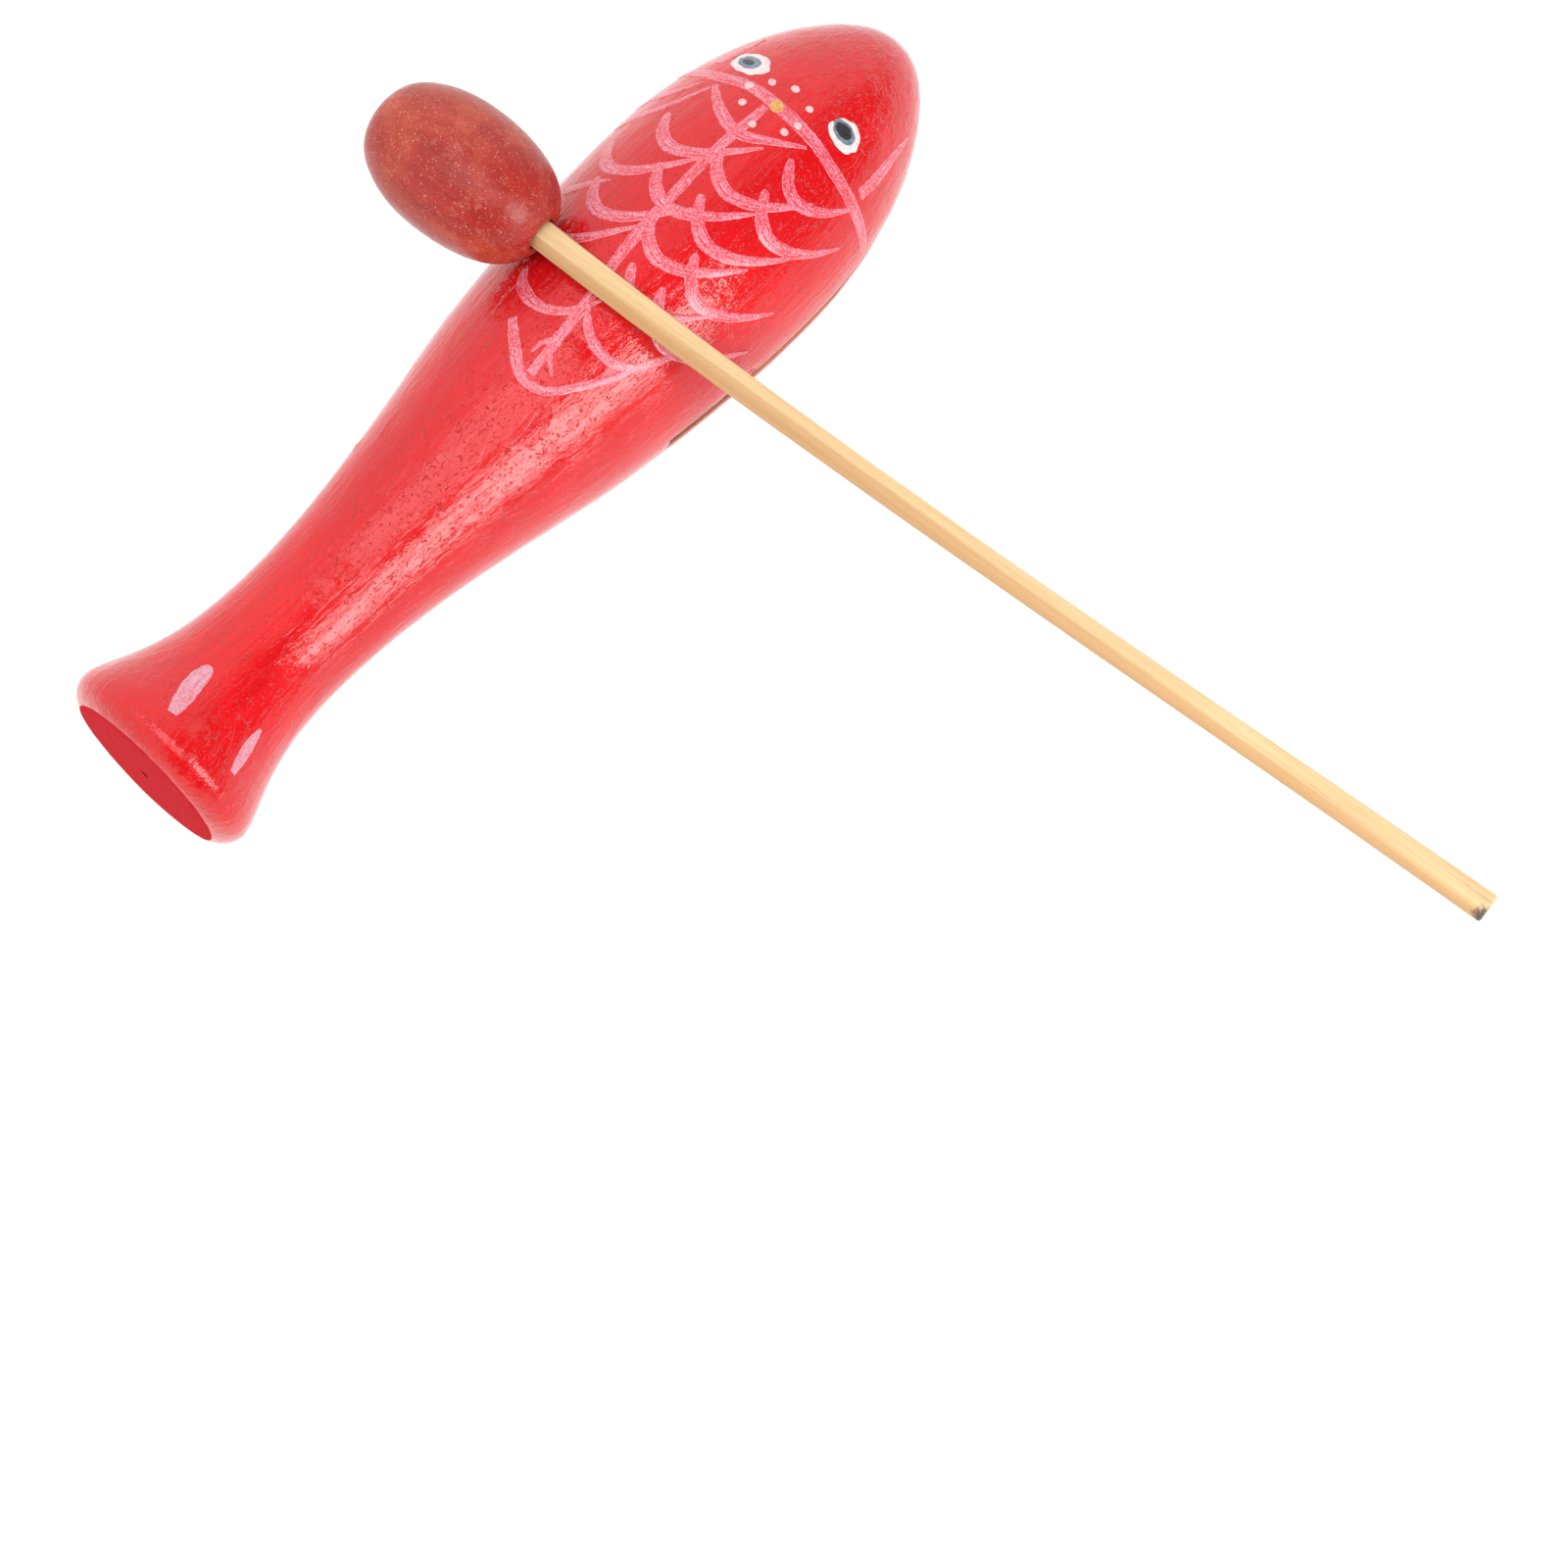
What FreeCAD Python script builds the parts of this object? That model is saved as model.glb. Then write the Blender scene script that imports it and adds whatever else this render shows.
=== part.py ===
import FreeCAD, Part
import math
import os
import Sketcher

# A fish-shaped wood block lying on a table, with its mallet laid across its back.
# Row frame: +Z up, +Y from the fish's tail to its nose, +X to the side where the sound slot opens.
# The origin is on the resting plane, under the fullest part of the belly.

V = FreeCAD.Vector
doc = FreeCAD.newDocument("fish_wood_block")

# ---------------------------------------------------------------- driving dimensions, millimetres
# A turned outline is a spline: each place and radius pair below is one of its control points.
SIZES = {
    # fish, places measured forward from the tail face
    "fish_length": 274.5,
    "face_radius": 21.3,        # flat tail face
    "corner_radius": 23.3,      # rounded corner of the tail rim
    "rim_place": 4.5,
    "rim_radius": 32.8,
    "flare_place": 24.8,
    "flare_radius": 18.0,
    "neck_place": 72.9,
    "neck_radius": 17.6,
    # fish, places measured back from the nose
    "back_place": 145.2,
    "back_radius": 29.0,
    "shoulder_place": 134.1,
    "shoulder_radius": 31.2,
    "belly_place": 58.8,
    "belly_radius": 39.0,
    "cheek_place": 15.4,
    "cheek_radius": 23.9,
    "nose_radius": 8.6,
    # narrow planed flats that it rests on
    "belly_planing": 0.7,
    "rim_planing": 0.35,
    # sound slot, cut into the +X flank with a disc cutter
    "slot_place": 75.0,         # cutter's centre, back from the nose
    "slot_drop": 7.3,           # slot's middle plane, below the fish's axis
    "slot_width": 5.6,
    "cutter_radius": 45.0,
    "cutter_offset": 28.5,      # cutter's centre, out from the fish's axis
    # lathe centre hole in the tail face
    "centre_hole_radius": 0.9,
    "centre_hole_depth": 7.0,
    # mallet head, places measured from the face that the stick leaves
    "head_length": 52.9,
    "head_face_radius": 5.6,
    "head_shoulder_radius": 6.5,
    "head_swell_place": 4.0,
    "head_swell_radius": 15.8,
    "head_crown_place": 29.8,
    "head_crown_radius": 19.4,
    "head_dome_place": 45.7,
    "head_dome_radius": 15.2,
    "head_tip_radius": 8.6,
    # mallet stick
    "stick_radius": 4.05,       # where it enters the head, and the bore's radius
    "shaft_root_radius": 3.93,  # the whittled shaft starts inside the tenon, a shade thinner
    "shaft_root_depth": 2.0,
    "stick_reach": 287.2,       # from the head's face to the free end
    "stick_tenon": 22.0,        # length glued in the bore
    "upper_waist_place": 85.0,  # stations along the stick, from the head's face
    "upper_waist_radius": 3.65,
    "upper_waist_bow": 2.2,     # sideways, off the straight line from face to free end
    "lower_waist_place": 180.0,
    "lower_waist_radius": 3.5,
    "lower_waist_bow": 1.6,
    "stick_end_radius": 3.9,
    "stick_end_chamfer": 0.5,
    "head_cant": 2.3,           # degrees between the head's axis and the stick's straight line
    # where the mallet lies
    "mallet_place": 113.1,      # crossing point, back from the nose
    "mallet_overlap": 15.7,     # from the head's face to the crossing point, along the stick
    "mallet_heading": 6.1,      # degrees from +X towards +Y
    "rest_clearance": 0.3,      # gap kept between the two bodies
}

sheet = doc.addObject("Spreadsheet::Sheet", "Sizes")
rows = {}


def set_size(name, value):
    """Write one named number to the sheet; a new name takes the next row."""
    if name not in rows:
        rows[name] = len(rows) + 1
        sheet.set("A%d" % rows[name], name)
        sheet.setAlias("B%d" % rows[name], name)
    sheet.set("B%d" % rows[name], repr(value))


def size(name):
    return float(sheet.get(name))


for name, value in SIZES.items():
    set_size(name, value)
doc.recompute()


# ---------------------------------------------------------------- helpers
def new_body(label):
    body = doc.addObject("PartDesign::Body", label)
    body.Label = label
    return body


def plane(body, role):
    return [item for item in body.Origin.OriginFeatures if item.Role == role][0]


def new_sketch(body, label, role):
    sketch = body.newObject("Sketcher::SketchObject", label)
    sketch.AttachmentSupport = [(plane(body, role), "")]
    sketch.MapMode = "FlatFace"
    return sketch


def evaluate(text):
    """Value of an expression made of sheet names, for a first placing of the geometry."""
    bare = text.replace("Sizes.", "")
    if bare.startswith("-"):
        return -evaluate(bare[1:])
    if " - " in bare:
        first, second = bare.split(" - ")
        return evaluate(first) - evaluate(second)
    return size(bare) if bare in rows else float(bare)


def pin_point(sketch, geometry, position, across, along):
    """Hold a sketch point at a distance from the sketch's origin, both bound to the sheet."""
    for kind, text in (("DistanceX", across), ("DistanceY", along)):
        value = evaluate(text)
        if text == "0":
            axis = -2 if kind == "DistanceX" else -1
            sketch.addConstraint(Sketcher.Constraint("PointOnObject", geometry, position, axis))
            continue
        index = sketch.addConstraint(Sketcher.Constraint(kind, -1, 1, geometry, position, value))
        sketch.setExpression("Constraints[%d]" % index, text)


def pin_radius(sketch, circle, text):
    index = sketch.addConstraint(Sketcher.Constraint("Radius", circle, evaluate(text)))
    sketch.setExpression("Constraints[%d]" % index, text)


def closed_lines(sketch, corners):
    """Closed outline of straight lines through (across, along) pairs of expressions."""
    points = [V(evaluate(across), evaluate(along), 0) for across, along in corners]
    lines = [sketch.addGeometry(Part.LineSegment(start, end), False)
             for start, end in zip(points, points[1:] + points[:1])]
    for line, following in zip(lines, lines[1:] + lines[:1]):
        sketch.addConstraint(Sketcher.Constraint("Coincident", line, 2, following, 1))
    for line, (across, along) in zip(lines, corners):
        pin_point(sketch, line, 1, across, along)


def turned_outline(sketch, poles):
    """Closed half outline about the vertical sketch axis: spline, flat ends and axis line.

    poles are (radius, place) pairs of expressions from the first end to the last.
    """
    points = [V(evaluate(radius), evaluate(place), 0) for radius, place in poles]
    spline = sketch.addGeometry(Part.BSplineCurve(points, None, None, False, 3, None, False), False)
    sketch.exposeInternalGeometry(spline)
    for number, (radius, place) in enumerate(poles):
        pin_point(sketch, spline + 1 + number, 3, radius, place)
    corners = [points[-1], V(0, points[-1].y, 0), V(0, points[0].y, 0), points[0]]
    lines = []
    for first, second in zip(corners, corners[1:]):
        if (second - first).Length > 1e-6:
            lines.append(sketch.addGeometry(Part.LineSegment(first, second), False))
    sketch.addConstraint(Sketcher.Constraint("Coincident", spline, 2, lines[0], 1))
    for first, second in zip(lines, lines[1:]):
        sketch.addConstraint(Sketcher.Constraint("Coincident", first, 2, second, 1))
    sketch.addConstraint(Sketcher.Constraint("Coincident", lines[-1], 2, spline, 1))
    for line in lines:
        shape = sketch.Geometry[line]
        upright = abs(shape.EndPoint.x - shape.StartPoint.x) < 1e-6
        sketch.addConstraint(Sketcher.Constraint("Vertical" if upright else "Horizontal", line))
    if poles[-1][0] != "0":
        sketch.addConstraint(Sketcher.Constraint("PointOnObject", lines[0], 2, -2))


def revolve(body, sketch, label, kind="PartDesign::Revolution"):
    turned = body.newObject(kind, label)
    turned.Profile = sketch
    turned.ReferenceAxis = (sketch, ["V_Axis"])
    turned.Angle = 360.0
    sketch.Visibility = False
    return turned


def radius_along(sketch, count=400):
    """(place, radius) samples of a turned outline."""
    spline = sketch.Geometry[0]
    first, last = spline.FirstParameter, spline.LastParameter
    step = (last - first) / count
    return [(point.y, point.x)
            for point in (spline.value(first + step * number) for number in range(count + 1))]


# ---------------------------------------------------------------- fish body
fish = new_body("fish_body")
outline = new_sketch(fish, "fish_outline", "XY_Plane")
FROM_NOSE = "Sizes.fish_length - Sizes.%s_place"
FISH_POLES = [("Sizes.face_radius", "0"), ("Sizes.corner_radius", "0")]
FISH_POLES += [("Sizes.%s_radius" % name, "Sizes.%s_place" % name) for name in ("rim", "flare", "neck")]
FISH_POLES += [("Sizes.%s_radius" % name, FROM_NOSE % name)
               for name in ("back", "shoulder", "belly", "cheek")]
FISH_POLES += [("Sizes.nose_radius", "Sizes.fish_length"), ("0", "Sizes.fish_length")]
turned_outline(outline, FISH_POLES)
revolve(fish, outline, "fish_turning")
doc.recompute()

# The resting plane touches two planed flats, one under the rim and one under the belly.
profile = radius_along(outline)
middle = size("neck_place")
rim_peak = max((pair for pair in profile if pair[0] < middle), key=lambda pair: pair[1])
belly_peak = max(profile, key=lambda pair: pair[1])
rim_depth = rim_peak[1] - size("rim_planing")
belly_depth = belly_peak[1] - size("belly_planing")
tilt = math.atan2(belly_depth - rim_depth, belly_peak[0] - rim_peak[0])
set_size("belly_peak_place", belly_peak[0])
set_size("belly_rest_depth", belly_depth)
set_size("rest_tilt", math.degrees(tilt))
doc.recompute()

# Sound slot: a disc-shaped kerf, level with the fish's axis.
slot_sketch = new_sketch(fish, "slot_sketch", "XY_Plane")
slot_sketch.setExpression("AttachmentOffset.Base.z", "-Sizes.slot_drop")
disc = slot_sketch.addGeometry(Part.Circle(
    V(size("cutter_offset"), size("fish_length") - size("slot_place"), 0),
    V(0, 0, 1), size("cutter_radius")), False)
pin_point(slot_sketch, disc, 3, "Sizes.cutter_offset", "Sizes.fish_length - Sizes.slot_place")
pin_radius(slot_sketch, disc, "Sizes.cutter_radius")
slot = fish.newObject("PartDesign::Pocket", "sound_slot")
slot.Profile = slot_sketch
slot.SideType = "Symmetric"
slot.setExpression("Length", "Sizes.slot_width")
slot_sketch.Visibility = False

# Lathe centre hole in the tail face, a short cone about the fish's axis.
hole_sketch = new_sketch(fish, "centre_hole_sketch", "XY_Plane")
closed_lines(hole_sketch, [("0", "0"), ("Sizes.centre_hole_radius", "0"), ("0", "Sizes.centre_hole_depth")])
revolve(fish, hole_sketch, "centre_hole", "PartDesign::Groove")

# Planed flats: everything below the resting plane is taken off.
sole_sketch = new_sketch(fish, "sole_sketch", "XY_Plane")
sole_sketch.setExpression("AttachmentOffset.Base.y", "Sizes.belly_peak_place")
sole_sketch.setExpression("AttachmentOffset.Base.z", "-Sizes.belly_rest_depth")
sole_sketch.AttachmentOffset.Rotation = FreeCAD.Rotation(V(1, 0, 0), -math.degrees(tilt))
closed_lines(sole_sketch, [("-Sizes.fish_length", "-Sizes.fish_length"),
                           ("Sizes.fish_length", "-Sizes.fish_length"),
                           ("Sizes.fish_length", "Sizes.fish_length"),
                           ("-Sizes.fish_length", "Sizes.fish_length")])
sole = fish.newObject("PartDesign::Pocket", "planed_flats")
sole.Profile = sole_sketch
sole.setExpression("Length", "Sizes.belly_radius")
sole_sketch.Visibility = False

# ---------------------------------------------------------------- mallet head and stick
# Both are turned about the local Y axis from the head's face (y = 0): head towards -Y, stick to +Y.
head = new_body("mallet_head")
head_outline = new_sketch(head, "head_outline", "XY_Plane")
HEAD_POLES = [("Sizes.head_face_radius", "0"), ("Sizes.head_shoulder_radius", "0")]
HEAD_POLES += [("Sizes.head_%s_radius" % name, "-Sizes.head_%s_place" % name)
               for name in ("swell", "crown", "dome")]
HEAD_POLES += [("Sizes.head_tip_radius", "-Sizes.head_length"), ("0", "-Sizes.head_length")]
turned_outline(head_outline, HEAD_POLES)
revolve(head, head_outline, "head_turning")

bore_sketch = new_sketch(head, "bore_sketch", "XY_Plane")
BORE_CORNERS = [("0", "0"), ("Sizes.stick_radius", "0"),
                ("Sizes.stick_radius", "-Sizes.stick_tenon"), ("0", "-Sizes.stick_tenon")]
closed_lines(bore_sketch, BORE_CORNERS)
revolve(head, bore_sketch, "stick_bore", "PartDesign::Groove")

# The tenon runs along the head's axis; beyond it the stick is whittled, waisted and slightly bowed.
stick = new_body("mallet_stick")
tenon_sketch = new_sketch(stick, "tenon_sketch", "XY_Plane")
tenon_sketch.AttachmentOffset = FreeCAD.Placement(V(), FreeCAD.Rotation(V(0, 0, -1), size("head_cant")))
tenon_sketch.setExpression("AttachmentOffset.Rotation.Angle", "Sizes.head_cant")
closed_lines(tenon_sketch, BORE_CORNERS)
revolve(stick, tenon_sketch, "stick_tenon")

STATIONS = [("root", "Sizes.shaft_root_depth", "Sizes.shaft_root_radius", "0")]
STATIONS += [(name, "-Sizes.%s_place" % name, "Sizes.%s_radius" % name, "Sizes.%s_bow" % name)
             for name in ("upper_waist", "lower_waist")]
STATIONS += [("end", "-Sizes.stick_reach", "Sizes.stick_end_radius", "0")]
sections = []
for name, place, radius, bow in STATIONS:
    section = new_sketch(stick, "stick_%s_section" % name, "XZ_Plane")
    section.setExpression("AttachmentOffset.Base.z", place)
    circle = section.addGeometry(Part.Circle(V(evaluate(bow), 0, 0), V(0, 0, 1), evaluate(radius)), False)
    pin_point(section, circle, 3, bow, "0")
    pin_radius(section, circle, radius)
    section.Visibility = False
    sections.append(section)
shaft = stick.newObject("PartDesign::AdditiveLoft", "whittled_shaft")
shaft.Profile = sections[0]
shaft.Sections = sections[1:]
doc.recompute()
end_edges = ["Edge%d" % (number + 1) for number, edge in enumerate(shaft.Shape.Edges)
             if abs(edge.CenterOfMass.y - size("stick_reach")) < 0.01]
chamfer = stick.newObject("PartDesign::Chamfer", "stick_end_chamfer")
chamfer.Base = (shaft, end_edges)
chamfer.setExpression("Size", "Sizes.stick_end_chamfer")
doc.recompute()


# ---------------------------------------------------------------- resting places
nose_up = FreeCAD.Rotation(V(1, 0, 0), size("rest_tilt"))
belly_rest = V(0, size("belly_peak_place"), -size("belly_rest_depth"))
fish.Placement = FreeCAD.Placement(-nose_up.multVec(belly_rest), nose_up)

# The stick lies across the fish's back and the head leans on its flank: the height over the
# crossing point and the rise of the free end are worked out from the two gaps.
crossing = fish.Placement.multVec(V(0, size("fish_length") - size("mallet_place"), 0))


def lay_mallet(height, rise):
    """Put the mallet so that the stick's straight line is `height` over the crossing point."""
    turn = FreeCAD.Rotation(V(0, 0, 1), size("mallet_heading") - 90)
    turn = turn.multiply(FreeCAD.Rotation(V(1, 0, 0), rise))
    base = crossing + V(0, 0, height) - turn.multVec(V(0, size("mallet_overlap"), 0))
    stick.Placement = FreeCAD.Placement(base, turn)
    cant = FreeCAD.Rotation(V(0, 0, -1), size("head_cant"))
    head.Placement = FreeCAD.Placement(base, turn.multiply(cant))


def gap(body):
    return body.Shape.distToShape(fish.Shape)[0]


def lower_until_near(rise):
    """Height at which the stick, at this rise, is one clearance above the fish's back."""
    height = belly_peak[1] + size("stick_radius") + size("rest_clearance")
    for _ in range(12):
        lay_mallet(height, rise)
        height -= gap(stick) - size("rest_clearance")
    lay_mallet(height, rise)
    return height


# Tip the head down from well clear of the flank until it too is one clearance away.
high_rise, low_rise = -30.0, 30.0
for _ in range(16):
    rise = (high_rise + low_rise) / 2
    height = lower_until_near(rise)
    if gap(head) > size("rest_clearance"):
        high_rise = rise
    else:
        low_rise = rise
rise = high_rise
height = lower_until_near(rise)
set_size("mallet_height", height)
set_size("mallet_rise", rise)
doc.recompute()

# ---------------------------------------------------------------- checks and files
for item in doc.Objects:
    if "Invalid" in item.State or "Error" in item.State:
        raise RuntimeError("%s failed: %s" % (item.Label, item.State))
bodies = [fish, head, stick]
for body in bodies:
    shape = body.Shape
    if shape.isNull() or not shape.isValid() or len(shape.Solids) != 1:
        raise RuntimeError("%s is not one valid solid" % body.Label)

os.makedirs("parts", exist_ok=True)
for body in bodies:
    body.Shape.exportStep("parts/%s.step" % body.Label)
    print(body.Label, "volume", round(body.Shape.Volume), "mm3")
print("nose-up tilt %.3f, mallet rise %.3f, height %.3f" % (size("rest_tilt"), rise, height))
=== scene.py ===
import math

import bmesh
import bpy
import numpy as np
from mathutils import Matrix, Vector, noise
from mathutils.bvhtree import BVHTree


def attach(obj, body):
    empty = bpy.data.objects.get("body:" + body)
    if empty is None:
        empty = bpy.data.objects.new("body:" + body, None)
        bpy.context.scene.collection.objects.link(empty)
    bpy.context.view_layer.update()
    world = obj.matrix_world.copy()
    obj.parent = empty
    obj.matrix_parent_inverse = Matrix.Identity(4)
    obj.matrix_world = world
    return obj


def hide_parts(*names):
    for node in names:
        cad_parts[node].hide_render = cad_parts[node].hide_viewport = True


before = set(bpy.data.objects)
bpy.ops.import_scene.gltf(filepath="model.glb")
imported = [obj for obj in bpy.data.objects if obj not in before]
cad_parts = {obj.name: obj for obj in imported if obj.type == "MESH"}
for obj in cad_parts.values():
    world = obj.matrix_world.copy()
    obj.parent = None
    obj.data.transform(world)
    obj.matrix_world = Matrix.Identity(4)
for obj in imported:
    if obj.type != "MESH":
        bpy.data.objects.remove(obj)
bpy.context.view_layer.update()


# ---------------------------------------------------------------- red block, the fish itself
# One piece of close-grained wood turned between centres: flared flat tail, slim neck, full belly
# and blunt nose. A deep kerf from a disc cutter opens its right side so that it sounds, and the
# outside is brushed with thick red lacquer that sagged, blistered and set a little uneven.

MM = 0.001
SKIN_RINGS = 330
SKIN_SEGMENTS = 270
FACE_RINGS = 16
SHARP_EDGE = math.radians(50)
CENTRE_MARK_RADIUS = 1.1 * MM
CENTRE_MARK_DEPTH = 7 * MM
KERF_PLACE = 199.5 * MM          # cutter's middle, forward of the tail face
KERF_OFFSET = 28.5 * MM          # and out from the axis
KERF_DROP = 7.3 * MM
KERF_WIDTH = 5.6 * MM
CUTTER_RADIUS = 45 * MM
CUTTER_SEGMENTS = 220
KERF_ANGLE = math.radians(102)
LIP_REACH = 1.1 * MM
LIP_ROUNDING = 0.55 * MM
BRUSH_WAVE = 0.16 * MM           # slow swell of the lacquer
BRUSH_RIPPLE = 0.06 * MM         # short ripple of the lacquer
TOOL_RING = 0.035 * MM           # rings left by the turning gouge
LACQUER_BLOBS = [                # place (mm), angle (degrees), radius (mm), rise (mm)
    (11.3, 28, 2.6, 0.55), (13.6, 24, 1.8, 0.35), (130.2, 33, 1.3, 0.35), (129.7, 8, 1.1, 0.3),
    (64.7, -8, 0.9, 0.25), (119.0, 30, 1.0, 0.25), (181.5, 93, 1.4, -0.9), (96, -62, 1.2, 0.3),
    (150, 150, 1.5, 0.35), (40, 190, 1.3, 0.3), (221, 160, 1.4, 0.3), (90, 120, 1.2, 0.3),
]


def colour(code):
    """Linear colour of a six-digit display code."""
    parts = [int(code[i:i + 2], 16) / 255 for i in (0, 2, 4)]
    return [((part + 0.055) / 1.055) ** 2.4 if part > 0.04 else part / 12.92 for part in parts] + [1]


class Wiring:
    """A node tree being wired: each call adds one node and plugs its inputs in."""

    def __init__(self, tree):
        self.tree = tree

    def add(self, kind, plugs=None, **settings):
        node = self.tree.nodes.new(kind)
        for name, value in settings.items():
            setattr(node, name, value)
        for name, value in (plugs or {}).items():
            if isinstance(value, bpy.types.NodeSocket):
                self.tree.links.new(value, node.inputs[name])
            else:
                node.inputs[name].default_value = value
        return node.outputs[0] if len(node.outputs) else node


class Finish(Wiring):
    """A surface finish: one Principled shader fed by patterns in the piece's own directions."""

    def __init__(self, name, matrix, sockets):
        self.material = bpy.data.materials.new(name)
        self.material.use_nodes = True
        super().__init__(self.material.node_tree)
        self.shader = self.tree.nodes["Principled BSDF"]
        for socket, value in sockets.items():
            self.shader.inputs[socket].default_value = value
        own = matrix.inverted()
        coordinates = self.tree.nodes.new("ShaderNodeTexCoord")
        self.place = self.add("ShaderNodeMapping", {
            "Vector": coordinates.outputs["Object"],
            "Location": own.translation, "Rotation": own.to_euler()})

    def noise(self, scale, stretch=(1, 1, 1), detail=3.0, rough=0.5, warp=0.0):
        """Noise with this many features a metre, before the stretch along each own direction."""
        stretched = self.add("ShaderNodeMapping", {"Vector": self.place, "Scale": stretch})
        return self.add("ShaderNodeTexNoise", {
            "Vector": stretched, "Scale": scale,
            "Detail": detail, "Roughness": rough, "Distortion": warp})

    def between(self, value, low, high, bottom=0.0, top=1.0):
        """Map low-high of a value to bottom-top, and hold it there outside."""
        return self.add("ShaderNodeMapRange", {
            "Value": value, "From Min": low, "From Max": high, "To Min": bottom, "To Max": top})

    def sum(self, first, second, how="ADD"):
        return self.add("ShaderNodeMath", {0: first, 1: second}, operation=how)

    def blend(self, amount, first, second):
        """Colour that goes from the first to the second as the amount goes from 0 to 1."""
        node = self.tree.nodes.new("ShaderNodeMix")
        node.data_type = "RGBA"
        for socket, value in ((0, amount), (6, first), (7, second)):
            if isinstance(value, bpy.types.NodeSocket):
                self.tree.links.new(value, node.inputs[socket])
            else:
                node.inputs[socket].default_value = value
        return node.outputs[2]

    def relief(self, height, depth, under=None):
        """Bump of this depth in metres, over an earlier one if there is one."""
        plugs = {"Height": height, "Strength": 1.0, "Distance": depth}
        if under:
            plugs["Normal"] = under
        return self.add("ShaderNodeBump", plugs)

    def wire(self, **sockets):
        for name, value in sockets.items():
            self.tree.links.new(value, self.shader.inputs[name.replace("_", " ")])


def flat_end(node, facing):
    """Centre and outward direction of the flat end that the whole turned piece lies behind."""
    corners = np.array([vertex.co for vertex in node.data.vertices])
    faces = [face for face in node.data.polygons if face.normal.dot(facing) > 0.95]
    for face in sorted(faces, key=lambda face: -face.area):
        normal = face.normal.copy()
        level = face.center.dot(normal)
        if (corners @ np.array(normal)).max() < level + 0.01 * MM:
            break
    flat = [other for other in faces if other.normal.dot(normal) > 0.999999
            and abs(other.center.dot(normal) - level) < 0.01 * MM]
    area = sum(other.area for other in flat)
    return sum((other.center * other.area for other in flat), Vector()) / area, normal


def turned_frame(centre, along):
    """Matrix whose Y runs along a turned piece from its flat end, with Z as near upright as can be."""
    side = along.cross(Vector((0, 0, 1))).normalized()
    up = side.cross(along).normalized()
    matrix = Matrix((side, along, up)).transposed().to_4x4()
    matrix.translation = centre
    return matrix


def outline_of(node, matrix, keep, count):
    """Evenly spaced (place, radius) points of a turned outline, from the kept corners of its node."""
    inverse = matrix.inverted()
    points = np.array([inverse @ vertex.co for vertex in node.data.vertices])
    radius = np.hypot(points[:, 0], points[:, 2])
    angle = np.degrees(np.arctan2(points[:, 0], points[:, 2]))
    chosen = keep(points[:, 1], radius, angle)
    pairs = np.unique(np.round(np.column_stack([points[chosen, 1], radius[chosen]]), 6), axis=0)
    knots = [pairs[0]]
    for pair in pairs[1:]:
        if np.hypot(*(pair - knots[-1])) > 0.5 * MM:
            knots.append(pair)
    knots = np.array(knots)
    length = np.r_[0, np.cumsum(np.hypot(*np.diff(knots, axis=0).T))]
    slope = np.gradient(knots, length, axis=0)
    wanted = np.linspace(0, length[-1], count)
    index = np.clip(np.searchsorted(length, wanted) - 1, 0, len(length) - 2)
    span = (length[index + 1] - length[index])[:, None]
    t = (wanted - length[index])[:, None] / span
    return ((2 * t**3 - 3 * t**2 + 1) * knots[index] + (t**3 - 2 * t**2 + t) * span * slope[index]
            + (3 * t**2 - 2 * t**3) * knots[index + 1] + (t**3 - t**2) * span * slope[index + 1])


def mesh_piece(name, points, faces, *materials):
    """A smooth-shaded object at the origin, with its place in its mesh."""
    mesh = bpy.data.meshes.new(name)
    mesh.from_pydata([tuple(point) for point in points], [], faces)
    mesh.shade_smooth()
    piece = bpy.data.objects.new(name, mesh)
    bpy.context.scene.collection.objects.link(piece)
    for material in materials:
        mesh.materials.append(material)
    return piece


def skin_faces(rings, segments):
    """Faces of a closed skin: rings of points in order, then the first pole and the last pole."""
    faces = []
    first_pole, last_pole = rings * segments, rings * segments + 1
    for j in range(segments):
        k = (j + 1) % segments
        faces.append((first_pole, k, j))
        faces.append((last_pole, (rings - 1) * segments + j, (rings - 1) * segments + k))
        for i in range(rings - 1):
            a, b = i * segments, (i + 1) * segments
            faces.append((a + j, a + k, b + k, b + j))
    return faces


def carried_out(piece):
    """The piece's mesh with its modifiers carried out and taken off."""
    depsgraph = bpy.context.evaluated_depsgraph_get()
    piece.data = bpy.data.meshes.new_from_object(piece.evaluated_get(depsgraph))
    piece.modifiers.clear()
    return piece


fish_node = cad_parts["fish_body"]
tail_centre, tail_facing = flat_end(fish_node, Vector((0, -1, 0)))
fish_matrix = turned_frame(tail_centre, -tail_facing)
fish_outline = outline_of(
    fish_node, fish_matrix,
    lambda place, radius, angle: (abs(angle) < 75) & ((radius > 8 * MM) | (place > 260 * MM)),
    SKIN_RINGS)
face_edge = fish_outline[0, 1]
fish_length = fish_outline[-1, 0]
face_rings = [(0, radius) for radius in np.linspace(CENTRE_MARK_RADIUS, face_edge, FACE_RINGS)[:-1]]
fish_profile = np.array(face_rings + list(map(tuple, fish_outline[:-1])))

# Angles round the block, closer together where the kerf opens.
fine_angles = np.linspace(-math.pi, math.pi, 4001)
closeness = 1 + 1.7 * np.exp(-(((fine_angles - KERF_ANGLE) / 0.24) ** 2))
running = np.r_[0, np.cumsum((closeness[1:] + closeness[:-1]) / 2)]
fish_angles = np.interp(np.arange(SKIN_SEGMENTS) / SKIN_SEGMENTS * running[-1], running, fine_angles)

tangent = np.gradient(fish_profile, axis=0)
tangent /= np.hypot(*tangent.T)[:, None]
outward = np.column_stack([-tangent[:, 1], tangent[:, 0]])
outward[:FACE_RINGS - 2] = (-1, 0)


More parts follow.
